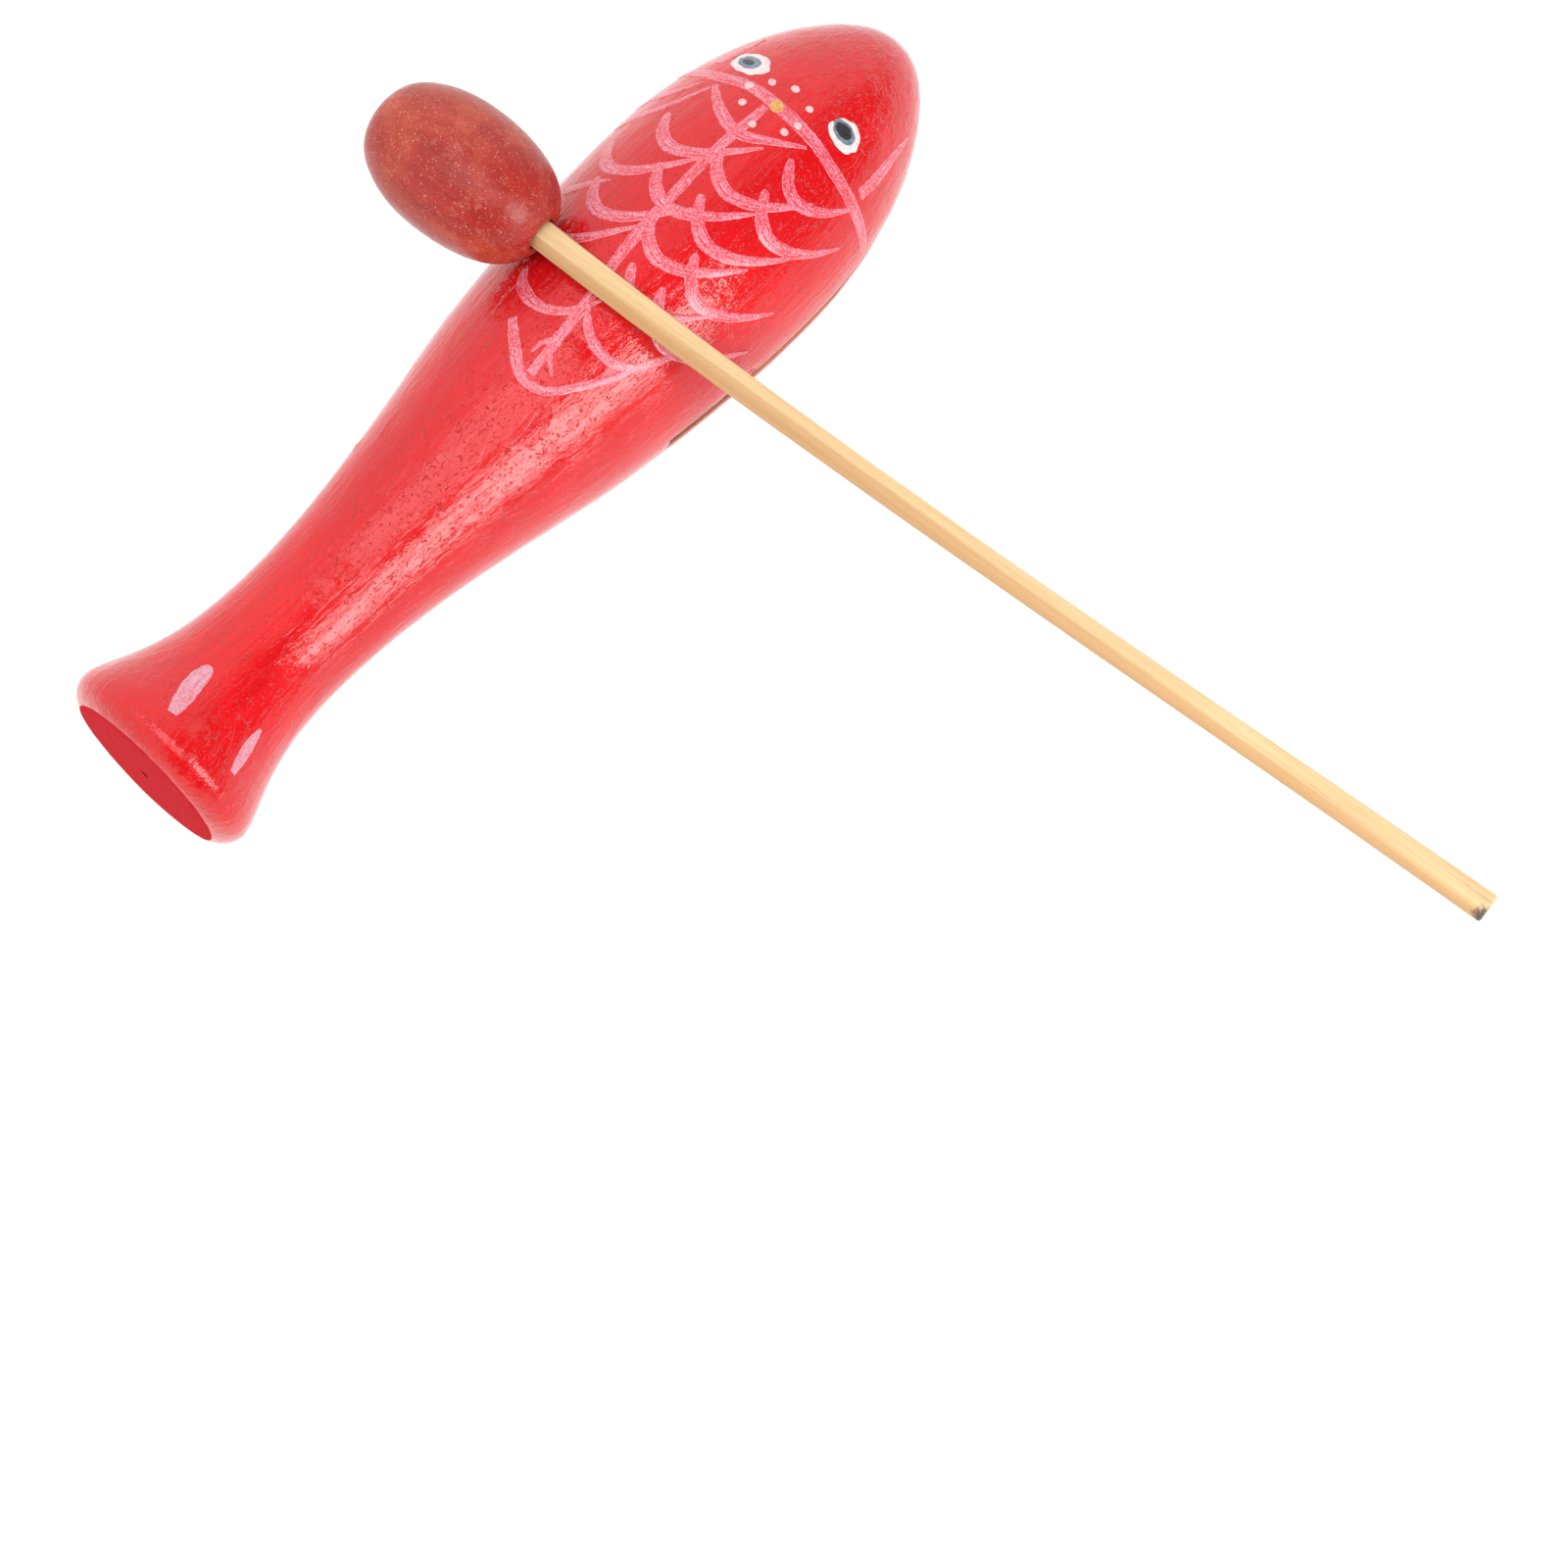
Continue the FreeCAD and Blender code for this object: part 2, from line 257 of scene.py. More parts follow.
def lacquer_rise(place, radius, angle):
    """Height of the uneven lacquer over the turned wood."""
    x, z = radius * math.sin(angle), radius * math.cos(angle)
    rise = BRUSH_WAVE * noise.noise(Vector((x * 55, place * 38, z * 55)))
    rise += BRUSH_RIPPLE * noise.noise(Vector((x * 190, place * 120, z * 190 + 7)))
    rise += TOOL_RING * noise.noise(Vector((x * 20, place * 420, z * 20)))
    return rise * min(1, (radius - CENTRE_MARK_RADIUS) / (4 * MM))


fish_points = []
for (place, radius), (out_y, out_r) in zip(fish_profile, outward):
    for angle in fish_angles:
        rise = lacquer_rise(place, radius, angle)
        for blob_place, blob_angle, blob_radius, blob_rise in LACQUER_BLOBS:
            if abs(place - blob_place * MM) < 3 * blob_radius * MM and radius > 10 * MM:
                turn = (angle - math.radians(blob_angle) + math.pi) % (2 * math.pi) - math.pi
                away = math.hypot(place - blob_place * MM, turn * radius) / (blob_radius * MM)
                rise += blob_rise * MM * math.exp(-away**2)
        y, r = place + rise * out_y, radius + rise * out_r
        x, z = r * math.sin(angle), r * math.cos(angle)
        if x > 0:
            from_cutter = math.hypot(x - KERF_OFFSET, y - KERF_PLACE)
            opening = min(max((CUTTER_RADIUS + 2 * MM - from_cutter) / (3 * MM), 0), 1)
            from_lip = max(abs(z + KERF_DROP) - KERF_WIDTH / 2, 0)
            x -= LIP_ROUNDING * opening * math.exp(-((from_lip / LIP_REACH) ** 2))
        point = fish_matrix @ Vector((x, y, z))
        point.z = max(point.z, 0)
        fish_points.append(point)
fish_points.append(fish_matrix @ Vector((0, CENTRE_MARK_DEPTH, 0)))
fish_points.append(fish_matrix @ Vector((0, fish_length, 0)))

lacquer = Finish("red_lacquer", fish_matrix, {
    "Coat Weight": 1.0, "Coat Roughness": 0.05, "Coat IOR": 1.45, "Specular IOR Level": 0.05})
brushing = lacquer.noise(260, (1, 0.12, 1), 5, 0.6)
mottle = lacquer.noise(28, (1, 1, 1), 3, 0.5)
shade = lacquer.sum(lacquer.between(brushing, 0.3, 0.7), lacquer.between(mottle, 0.3, 0.7), "MULTIPLY")
lacquer.wire(
    Base_Color=lacquer.blend(shade, colour("c3070e"), colour("d70e17")),
    Roughness=lacquer.between(brushing, 0.3, 0.75, 0.3, 0.5))
raised_grain = lacquer.between(lacquer.noise(520, (1, 0.09, 1), 4, 0.65), 0.5, 0.62)
bristle_marks = lacquer.noise(1300, (1, 0.16, 1), 3, 0.65)
peel = lacquer.noise(300, (1, 0.55, 1), 4, 0.6)
pits = lacquer.between(lacquer.noise(640, (1, 0.9, 1), 4, 0.6), 0.62, 0.71)
dust = lacquer.between(lacquer.noise(1500, (1, 0.9, 1), 1, 0.4), 0.66, 0.76)
surface = lacquer.relief(peel, 0.2 * MM)
surface = lacquer.relief(raised_grain, 0.07 * MM, surface)
surface = lacquer.relief(bristle_marks, 0.06 * MM, surface)
surface = lacquer.relief(lacquer.sum(dust, pits, "SUBTRACT"), 0.22 * MM, surface)
lacquer.wire(Normal=surface, Coat_Normal=surface)

end_lacquer = Finish("thin_end_lacquer", fish_matrix, {
    "Specular IOR Level": 0.1, "IOR": 1.25, "Roughness": 0.8})
end_grain = end_lacquer.noise(420, (1, 1, 1), 5, 0.7)
red = end_lacquer.blend(end_lacquer.between(end_grain, 0.3, 0.7), colour("b81a22"), colour("cd242d"))
# The mouth of the centre mark's hole is painted near black: painted shade of the hole, not a colour of
# the lacquer.
from_centre = end_lacquer.add("ShaderNodeVectorMath", {0: end_lacquer.place}, operation="LENGTH")
from_centre = from_centre.node.outputs["Value"]
end_lacquer.wire(
    Base_Color=end_lacquer.blend(
        end_lacquer.between(from_centre, 1.0 * MM, 1.3 * MM, 1, 0), red, colour("2a0c0e")),
    Normal=end_lacquer.relief(end_grain, 0.12 * MM))

bare_wood = Finish("bare_kerf_wood", fish_matrix, {"Roughness": 0.8})
fibres = bare_wood.noise(500, (1, 0.06, 1), 4, 0.65)
scorch = bare_wood.noise(60, (1, 0.4, 1), 3, 0.5)
pale = bare_wood.blend(bare_wood.between(fibres, 0.3, 0.7), colour("b98a5a"), colour("dcb583"))
bare_wood.wire(
    Base_Color=bare_wood.blend(bare_wood.between(scorch, 0.45, 0.75), pale, colour("7d4a34")),
    Normal=bare_wood.relief(fibres, 0.12 * MM))

fish_skin = mesh_piece(
    "fish_skin", fish_points, skin_faces(len(fish_profile), SKIN_SEGMENTS),
    lacquer.material, end_lacquer.material)
face_places = list(np.repeat(fish_profile[:, 0], SKIN_SEGMENTS)) + [0, fish_length]
for face in fish_skin.data.polygons:
    face.material_index = int(max(face_places[corner] for corner in face.vertices) < 0.4 * MM)
cutter_mesh = bmesh.new()
bmesh.ops.create_cone(
    cutter_mesh, cap_ends=True, segments=CUTTER_SEGMENTS, radius1=CUTTER_RADIUS, radius2=CUTTER_RADIUS,
    depth=KERF_WIDTH, matrix=fish_matrix @ Matrix.Translation((KERF_OFFSET, KERF_PLACE, -KERF_DROP)))
cutter_data = bpy.data.meshes.new("disc_cutter")
cutter_mesh.to_mesh(cutter_data)
cutter_data.materials.append(bare_wood.material)
cutter = bpy.data.objects.new("disc_cutter", cutter_data)
bpy.context.scene.collection.objects.link(cutter)
kerf = fish_skin.modifiers.new("kerf", "BOOLEAN")
kerf.object = cutter
kerf.solver = "EXACT"
kerf.material_mode = "TRANSFER"
carried_out(fish_skin)
bpy.data.objects.remove(cutter)
fish_skin.data.set_sharp_from_angle(angle=SHARP_EDGE)
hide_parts("fish_body")
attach(fish_skin, "block")


# ---------------------------------------------------------------- brushed lines of the fish
# Thin pink-white paint put on over the dry lacquer with a small round brush: one line along the
# back, a band round the gills, a dash on each cheek and two dabs on the tail. The bristles leave
# streaks and speckles where the red shows through.

OUTSIDE = 60 * MM                # from the axis, farther out than any of the skin
STROKE_STEP = 0.55 * MM

skin_tree = BVHTree.FromObject(fish_skin, bpy.context.evaluated_depsgraph_get())


def on_skin(place, angle):
    """Point and outward direction of the lacquer at a place (mm) and an angle (degrees)."""
    radians = math.radians(angle)
    out = Vector((math.sin(radians), 0, math.cos(radians)))
    start = fish_matrix @ (Vector((0, place * MM, 0)) + out * OUTSIDE)
    hit = skin_tree.ray_cast(start, -(fish_matrix.to_3x3() @ out))
    return hit[0], hit[1]


def brush_tree():
    """Node tree that lays a ragged stroke of thick paint on the skin along each path it is given."""
    tree = bpy.data.node_groups.new("brush_stroke", "GeometryNodeTree")
    face = tree.interface
    face.new_socket("Geometry", in_out="INPUT", socket_type="NodeSocketGeometry")
    face.new_socket("Skin", in_out="INPUT", socket_type="NodeSocketObject")
    face.new_socket("Thickness", in_out="INPUT", socket_type="NodeSocketFloat")
    face.new_socket("Spacing", in_out="INPUT", socket_type="NodeSocketFloat")
    face.new_socket("Raggedness", in_out="INPUT", socket_type="NodeSocketFloat")
    face.new_socket("Paint", in_out="INPUT", socket_type="NodeSocketMaterial")
    face.new_socket("Geometry", in_out="OUTPUT", socket_type="NodeSocketGeometry")
    wiring = Wiring(tree)
    given = tree.nodes.new("NodeGroupInput").outputs
    result = tree.nodes.new("NodeGroupOutput")

    def lookup(name, kind="FLOAT"):
        return wiring.add("GeometryNodeInputNamedAttribute", {"Name": name}, data_type=kind)

    def keep(geometry, name, value, kind="FLOAT"):
        return wiring.add("GeometryNodeStoreNamedAttribute", {
            "Geometry": geometry, "Name": name, "Value": value}, data_type=kind)

    skin = wiring.add("GeometryNodeObjectInfo", {"Object": given["Skin"]})
    skin = skin.node.outputs["Geometry"]
    here = wiring.add("GeometryNodeInputPosition")
    upright = wiring.add("GeometryNodeSampleNearestSurface", {
        "Mesh": skin, "Value": wiring.add("GeometryNodeInputNormal"), "Sample Position": here},
        data_type="FLOAT_VECTOR")

    path = wiring.add("GeometryNodeMeshToCurve", {"Mesh": given["Geometry"]})
    path = wiring.add("GeometryNodeCurveSplineType", {"Curve": path}, spline_type="CATMULL_ROM")
    path = wiring.add("GeometryNodeResampleCurve", {
        "Curve": path, "Length": given["Spacing"]}, mode="LENGTH")
    travelled = wiring.add("GeometryNodeSplineParameter").node.outputs["Length"]
    path = keep(path, "along", travelled)
    path = keep(path, "spine", here, "FLOAT_VECTOR")
    path = wiring.add("GeometryNodeSetCurveNormal", {"Curve": path, "Normal": upright}, mode="FREE")

    round_brush = wiring.add("GeometryNodeCurvePrimitiveCircle", {"Resolution": 22, "Radius": 1.0})
    spread = wiring.add("ShaderNodeSeparateXYZ", {"Vector": here}).node.outputs
    round_brush = keep(round_brush, "across", spread["Y"])
    round_brush = keep(round_brush, "lift", spread["X"])
    flatten = wiring.add("GeometryNodeTransform", {"Geometry": round_brush, "Scale": (0.08, 1, 1)})
    ribbon = wiring.add("GeometryNodeCurveToMesh", {
        "Curve": path, "Profile Curve": flatten, "Scale": lookup("half_width"), "Fill Caps": True})

    fray = wiring.add("ShaderNodeTexNoise", {"Vector": here, "Scale": 520.0, "Detail": 2.0})
    fray = wiring.add("ShaderNodeMath", {0: fray, 1: 0.5}, operation="SUBTRACT")
    fray = wiring.add("ShaderNodeMath", {
        0: fray, 1: given["Raggedness"], 2: 1.0}, operation="MULTIPLY_ADD")
    spine = lookup("spine", "FLOAT_VECTOR")
    reach = wiring.add("ShaderNodeVectorMath", {0: here, 1: spine}, operation="SUBTRACT")
    reach = wiring.add("ShaderNodeVectorMath", {0: reach, "Scale": fray}, operation="SCALE")
    frayed = wiring.add("ShaderNodeVectorMath", {0: spine, 1: reach})
    ribbon = wiring.add("GeometryNodeSetPosition", {"Geometry": ribbon, "Position": frayed})

    foot = wiring.add("GeometryNodeProximity", {"Geometry": skin, "Sample Position": here},
                      target_element="FACES")
    height = wiring.add("ShaderNodeMath", {
        0: lookup("lift"), 1: given["Thickness"]}, operation="MULTIPLY")
    raised = wiring.add("ShaderNodeVectorMath", {0: upright, "Scale": height}, operation="SCALE")
    laid = wiring.add("ShaderNodeVectorMath", {0: foot, 1: raised})
    ribbon = wiring.add("GeometryNodeSetPosition", {"Geometry": ribbon, "Position": laid})
    ribbon = wiring.add("GeometryNodeSetShadeSmooth", {"Geometry": ribbon})
    ribbon = wiring.add("GeometryNodeRealizeInstances", {"Geometry": ribbon})
    ribbon = wiring.add("GeometryNodeSetMaterial", {"Geometry": ribbon, "Material": given["Paint"]})
    tree.links.new(ribbon, result.inputs["Geometry"])
    return tree


def give(modifier, values):
    """Set a Geometry Nodes modifier's inputs by their sockets' identifiers."""
    for item in modifier.node_group.interface.items_tree:
        if item.in_out == "INPUT" and item.name in values:
            modifier[item.identifier] = values[item.name]


brushing_tree = brush_tree()


def brushed(name, strokes, paint, thickness=0.14, ragged=0.35):
    """Paint strokes, each a list of (place, angle, half width) along the stroke, as one piece."""
    points, edges, widths = [], [], []
    for stroke in strokes:
        for index, (place, angle, half_width) in enumerate(stroke):
            if index:
                edges.append((len(points) - 1, len(points)))
            points.append(on_skin(place, angle)[0])
            widths.append(half_width * MM)
    mesh = bpy.data.meshes.new(name)
    mesh.from_pydata(points, edges, [])
    mesh.attributes.new("half_width", "FLOAT", "POINT").data.foreach_set("value", widths)
    piece = bpy.data.objects.new(name, mesh)
    bpy.context.scene.collection.objects.link(piece)
    modifier = piece.modifiers.new("brush", "NODES")
    modifier.node_group = brushing_tree
    give(modifier, {"Skin": fish_skin, "Thickness": thickness * MM, "Spacing": STROKE_STEP,
                    "Raggedness": ragged, "Paint": paint})
    carried_out(piece)
    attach(piece, "block")
    return piece


def streaky_paint(name, solid, thin, cover):
    """Dry-brushed paint: streaks along the stroke and speckles, with the red under them."""
    paint = Finish(name, fish_matrix, {"Coat Weight": 0.5, "Coat Roughness": 0.16})
    along = paint.tree.nodes.new("ShaderNodeAttribute")
    along.attribute_name = "along"
    across = paint.tree.nodes.new("ShaderNodeAttribute")
    across.attribute_name = "across"
    bristles = paint.add("ShaderNodeCombineXYZ", {
        "X": paint.sum(along.outputs["Fac"], 70.0, "MULTIPLY"),
        "Y": paint.sum(across.outputs["Fac"], 3.5, "MULTIPLY")})
    streaks = paint.add("ShaderNodeTexNoise", {
        "Vector": bristles, "Scale": 1.6, "Detail": 3.0, "Roughness": 0.7})
    speckle = paint.noise(1700, (1, 1, 1), 3, 0.75)
    body = paint.sum(paint.sum(streaks, 0.5, "MULTIPLY"), paint.sum(speckle, 0.5, "MULTIPLY"))
    amount = paint.between(body, cover, cover + 0.13)
    paint.wire(
        Base_Color=paint.blend(amount, thin, solid),
        Roughness=paint.between(body, 0.3, 0.7, 0.3, 0.55),
        Normal=paint.relief(body, 0.12 * MM))
    return paint.material


pink_paint = streaky_paint("thin_pink_paint", colour("d897aa"), colour("cf1d2a"), 0.46)

brushed("back_line", [[
    (134.6, 10, 1.2), (144.8, 8, 1.4), (158.6, 5, 1.5), (168.7, 2, 1.4), (181, 0, 1.6),
    (194, -1, 1.5), (208, -2, 1.5), (220, -2, 1.3), (226.7, -2, 1.2)]], pink_paint, 0.13)
brushed("gill_band", [[
    (224.6, -64, 1.4), (225.7, -50, 1.7), (226.7, -32, 1.8), (228.7, -15, 1.8), (229.0, 6, 1.9),
    (228.7, 26, 1.8), (227.7, 40, 1.8), (226.7, 60, 1.9), (225.7, 78, 1.6), (224.8, 88, 1.0)]],
    pink_paint, 0.16)
brushed("cheek_dashes", [
    [(230.2, 58, 1.7), (235, 60, 2.0), (240, 62, 1.8), (247.5, 65, 1.3), (254, 70.5, 0.5)],
    [(231, -45, 1.7), (236, -44.5, 1.8), (240.6, -44.5, 1.3), (245.5, -46, 0.5)]], pink_paint)
brushed("tail_dabs", [
    [(11.4, 7, 1.2), (15, 5, 2.2), (21, 1, 2.6), (25.5, -1, 2.0), (27.4, -2, 0.8)],
    [(12.4, 54, 0.9), (16.5, 54, 1.7), (21, 54, 1.6), (25.6, 54, 0.6)]],
    streaky_paint("thick_pink_paint", colour("c996a6"), colour("cc4452"), 0.41), 0.16)


# ---------------------------------------------------------------- painted scales
# Rows of single curved strokes in the same thin paint. Each one starts on the left of the back,
# swells towards the tail, and sweeps forward to the right as the brush lifts and thins.

SCALE_SWEEP = [          # forward of the stroke's tip (mm), round from it (degrees), half width (mm)
    (8.2, -15.5, 0.5), (6.8, -14.4, 1.3), (2.4, -9, 1.8), (0.0, -1, 1.9), (1.6, 8, 1.6),
    (5.5, 16, 1.3), (10.5, 23, 0.9), (15.5, 29, 0.35)]
SCALE_TIPS = [           # place of the tip (mm), its angle (degrees), size
    (214.0, 36, 0.85), (202.0, -18, 1.0), (202.0, 14, 1.0), (202.0, 40, 1.0),
    (188.8, -33, 1.0), (188.8, 0, 1.0), (188.8, 24, 1.05), (177.3, -20, 1.0), (177.3, 14, 1.0),
    (177.3, 39, 1.0), (165.5, -30, 1.0), (165.0, 22, 0.9), (164.0, 42, 1.15)]
SCALE_LOOSE = [          # strokes that don't follow the rule: the rows' ends and the loops by the tail
    [(223.8, -29, 0.9), (220, -20.5, 1.4), (216.5, -8.7, 1.8), (216.2, 0.3, 1.7), (219.5, 9.5, 1.3),
     (226.1, 23.6, 0.4)],
    [(210.5, -68, 0.5), (213, -60, 1.5), (216.8, -46, 1.2), (223.3, -36, 0.4)],
    [(201.6, -61, 0.6), (205.4, -53, 1.3), (211.7, -39, 1.0), (222.6, -29.6, 0.5)],
    [(178.5, -48, 1.6), (182, -38, 1.2), (186, -28, 0.4)],
    [(142.4, -16, 1.3), (137, -4.5, 1.6), (133, 6, 1.5), (132.6, 14, 1.3), (134.5, 22, 1.2),
     (140.2, 29.5, 1.2), (148.5, 38, 1.0), (156.7, 43.2, 0.9), (164, 48, 0.4)],
    [(154.8, -30, 0.9), (150.7, -24.4, 1.8), (148.6, -12, 1.6), (151.8, 1, 1.2), (159.9, 9.6, 0.5)],
    [(157, 7, 0.5), (153.8, 12, 1.2), (151.1, 20.3, 1.4), (150.9, 31, 1.4), (155.2, 42.5, 1.2),
     (163.7, 49.5, 0.5)],
    [(143.8, 5.2, 0.6), (140.7, 11.6, 0.9), (137.8, 18.1, 0.3)],
    [(146.4, 8, 0.3), (142.5, 4, 0.7), (138.6, 3, 0.3)]]

brushed("scale_strokes", [
    [(tip + forward * size, angle + turn * size, half_width * (0.7 + 0.3 * size))
     for forward, turn, half_width in SCALE_SWEEP]
    for tip, angle, size in SCALE_TIPS] + SCALE_LOOSE, pink_paint, 0.145, 0.4)


# ---------------------------------------------------------------- dots between the eyes
# A ring of eight small white dots round one gold dot, each a touch of thick paint from the
# brush's tip that dried as a low, not quite round button.

WHITE_DOTS = [           # place (mm), angle (degrees)
    (223.6, -11), (228.7, -16), (233.5, -10), (236.2, 0), (220.4, 0), (224.7, 12), (228.7, 14),
    (234.4, 12)]
WHITE_DOT_RADIUS = 1.08
GOLD_DOT = (228.7, 1)
GOLD_DOT_RADIUS = 2.15
DOT_UNEVENNESS = 0.55 * MM


def dot_tree():
    """Node tree that sets a low button of paint at each point, square to the skin there."""
    tree = bpy.data.node_groups.new("paint_dot", "GeometryNodeTree")
    face = tree.interface
    face.new_socket("Geometry", in_out="INPUT", socket_type="NodeSocketGeometry")
    face.new_socket("Radius", in_out="INPUT", socket_type="NodeSocketFloat")
    face.new_socket("Height", in_out="INPUT", socket_type="NodeSocketFloat")
    face.new_socket("Unevenness", in_out="INPUT", socket_type="NodeSocketFloat")
    face.new_socket("Seed", in_out="INPUT", socket_type="NodeSocketInt")
    face.new_socket("Paint", in_out="INPUT", socket_type="NodeSocketMaterial")
    face.new_socket("Geometry", in_out="OUTPUT", socket_type="NodeSocketGeometry")
    wiring = Wiring(tree)
    given = tree.nodes.new("NodeGroupInput").outputs
    result = tree.nodes.new("NodeGroupOutput")
    button = wiring.add("GeometryNodeMeshUVSphere", {"Segments": 28, "Rings": 14, "Radius": 1.0})
    shape = wiring.add("ShaderNodeCombineXYZ", {
        "X": given["Radius"], "Y": given["Radius"], "Z": given["Height"]})
    button = wiring.add("GeometryNodeTransform", {"Geometry": button, "Scale": shape})
    skin_normal = wiring.add("GeometryNodeInputNamedAttribute", {
        "Name": "skin_normal"}, data_type="FLOAT_VECTOR")
    turned = wiring.add("FunctionNodeAlignRotationToVector", {"Vector": skin_normal}, axis="Z")
    size = wiring.add("FunctionNodeRandomValue", {
        2: 0.82, 3: 1.16, "Seed": given["Seed"]}, data_type="FLOAT")
    size = size.node.outputs[1]
    dots = wiring.add("GeometryNodeInstanceOnPoints", {
        "Points": given["Geometry"], "Instance": button, "Rotation": turned, "Scale": size})
    dots = wiring.add("GeometryNodeRealizeInstances", {"Geometry": dots})
    wander = wiring.add("ShaderNodeTexNoise", {
        "Vector": wiring.add("GeometryNodeInputPosition"), "Scale": 420.0, "Detail": 1.0})
    wander = wiring.add("ShaderNodeVectorMath", {
        0: wander.node.outputs["Color"], 1: (0.5, 0.5, 0.5)}, operation="SUBTRACT")
    wander = wiring.add("ShaderNodeVectorMath", {
        0: wander, "Scale": given["Unevenness"]}, operation="SCALE")
    dots = wiring.add("GeometryNodeSetPosition", {"Geometry": dots, "Offset": wander})
    dots = wiring.add("GeometryNodeSetShadeSmooth", {"Geometry": dots})
    dots = wiring.add("GeometryNodeSetMaterial", {"Geometry": dots, "Material": given["Paint"]})
    tree.links.new(dots, result.inputs["Geometry"])
    return tree


def thick_paint(name, light, dark, grain, low=0.35, high=0.65):
    """Body colour straight from the pot, slightly mottled, with a soft sheen."""
    paint = Finish(name, fish_matrix, {"Coat Weight": 0.3, "Coat Roughness": 0.2, "Roughness": 0.45})
    mottle = paint.noise(grain, (1, 1, 1), 4, 0.6)
    paint.wire(Base_Color=paint.blend(paint.between(mottle, low, high), dark, light),
               Normal=paint.relief(mottle, 0.15 * MM))
    return paint.material


dotting_tree = dot_tree()
white_paint = thick_paint("white_paint", colour("dfd2cf"), colour("cfa0a2"), 900, 0.22, 0.5)


def dotted(name, spots, radius, height, seed, paint):
    """Buttons of paint at these places and angles, as one piece."""
    mesh = bpy.data.meshes.new(name)
    laid = [on_skin(place, angle) for place, angle in spots]
    mesh.from_pydata([point for point, normal in laid], [], [])
    normals = mesh.attributes.new("skin_normal", "FLOAT_VECTOR", "POINT")
    normals.data.foreach_set("vector", [part for point, normal in laid for part in normal])
    piece = bpy.data.objects.new(name, mesh)
    bpy.context.scene.collection.objects.link(piece)
    modifier = piece.modifiers.new("dots", "NODES")
    modifier.node_group = dotting_tree
    give(modifier, {"Radius": radius * MM, "Height": height * MM, "Unevenness": DOT_UNEVENNESS,
                    "Seed": seed, "Paint": paint})
    carried_out(piece)
    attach(piece, "block")


dotted("white_dots", WHITE_DOTS, WHITE_DOT_RADIUS, 0.4, 5,
       thick_paint("thinned_white_paint", colour("dcbabb"), colour("cf9194"), 900, 0.3, 0.6))
dotted("gold_dot", [GOLD_DOT], GOLD_DOT_RADIUS, 0.5, 2,
       thick_paint("gold_paint", colour("dba85f"), colour("bf7a3d"), 700))


# ---------------------------------------------------------------- eyes
# Each eye is three dabs laid one over another: a wobbly white, a grey-blue iris nearer the nose,
# and a black pupil. All are thick gloss paint that dried with a rounded edge.

DAB_SPOKES = 60
DAB_RINGS = 9
DAB_ROOT = 0.1                   # how far a dab reaches into the lacquer (mm)
DAB_RIM = 0.03                   # keeps the rim from closing to nothing
LOBES = 1.9                      # how often a dab's edge wanders in and out


def dab(name, place, angle, half_length, half_breadth, thickness, paint, seed, wobble, sink=0.0):
    """A dab of paint, its half sizes in mm along and round the fish, with an uneven edge."""
    points, faces = [], []
    centre, normal = on_skin(place, angle)
    along = (fish_matrix.to_3x3() @ Vector((0, 1, 0)))
    along = (along - normal * along.dot(normal)).normalized()
    around = along.cross(normal)
    for layer in (1, -1):
        for ring in range(1, DAB_RINGS + 1):
            part = ring / DAB_RINGS
            for spoke in range(DAB_SPOKES):
                turn = 2 * math.pi * spoke / DAB_SPOKES
                edge = 1 + wobble * noise.noise(Vector((
                    LOBES * math.cos(turn), LOBES * math.sin(turn), seed)))
                step = along * math.cos(turn) * half_length + around * math.sin(turn) * half_breadth
                start = centre + step * part * edge * MM + normal * 5 * MM
                hit, facing = skin_tree.ray_cast(start, -normal)[:2]
                crown = math.sqrt(max(1 - part**6, DAB_RIM))
                points.append(hit + facing * (thickness if layer > 0 else -DAB_ROOT) * crown * MM)
    rings = DAB_RINGS * DAB_SPOKES
    top, bottom = len(points), len(points) + 1
    points += [centre + normal * thickness * MM, centre - normal * DAB_ROOT * MM]
    for spoke in range(DAB_SPOKES):
        after = (spoke + 1) % DAB_SPOKES
        faces.append((top, after, spoke))
        faces.append((bottom, rings + spoke, rings + after))
        for ring in range(DAB_RINGS - 1):
            a, b = ring * DAB_SPOKES, (ring + 1) * DAB_SPOKES
            faces.append((a + after, b + after, b + spoke, a + spoke))
            faces.append((rings + b + spoke, rings + b + after, rings + a + after, rings + a + spoke))
        rim = (DAB_RINGS - 1) * DAB_SPOKES
        faces.append((rim + after, rings + rim + after, rings + rim + spoke, rim + spoke))
    piece = mesh_piece(name, points, faces, paint)
    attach(piece, "block")
    return piece


iris_paint = thick_paint("grey_blue_paint", colour("7a8c9a"), colour("50626f"), 800)
pupil_paint = thick_paint("black_paint", colour("332b30"), colour("17131a"), 1200)
dab("left_eye_white", 235.0, -27.9, 4.3, 6.1, 0.2, white_paint, 3.1, 0.16)
dab("left_eye_iris", 235.0, -28.8, 2.8, 4.1, 0.3, iris_paint, 1.4, 0.12)
dab("left_eye_pupil", 234.8, -29.0, 1.2, 2.4, 0.4, pupil_paint, 6.2, 0.1)
dab("right_eye_white", 236.9, 32.5, 4.5, 4.7, 0.2, white_paint, 8.4, 0.2)
dab("right_eye_iris", 237.2, 31.0, 3.1, 3.9, 0.3, iris_paint, 4.7, 0.12)
dab("right_eye_pupil", 237.3, 30.6, 2.1, 3.0, 0.4, pupil_paint, 2.3, 0.1)


# ---------------------------------------------------------------- mallet head
# An egg of plain wood turned small at both ends, bored in its flat end for the stick, then dipped
# in a thin pink-red stain that the wood took unevenly and that has worn pale and orange.

EGG_RINGS = 130
EGG_SEGMENTS = 160
BORE_RADIUS = 4.45 * MM
BORE_DEPTH = 14 * MM

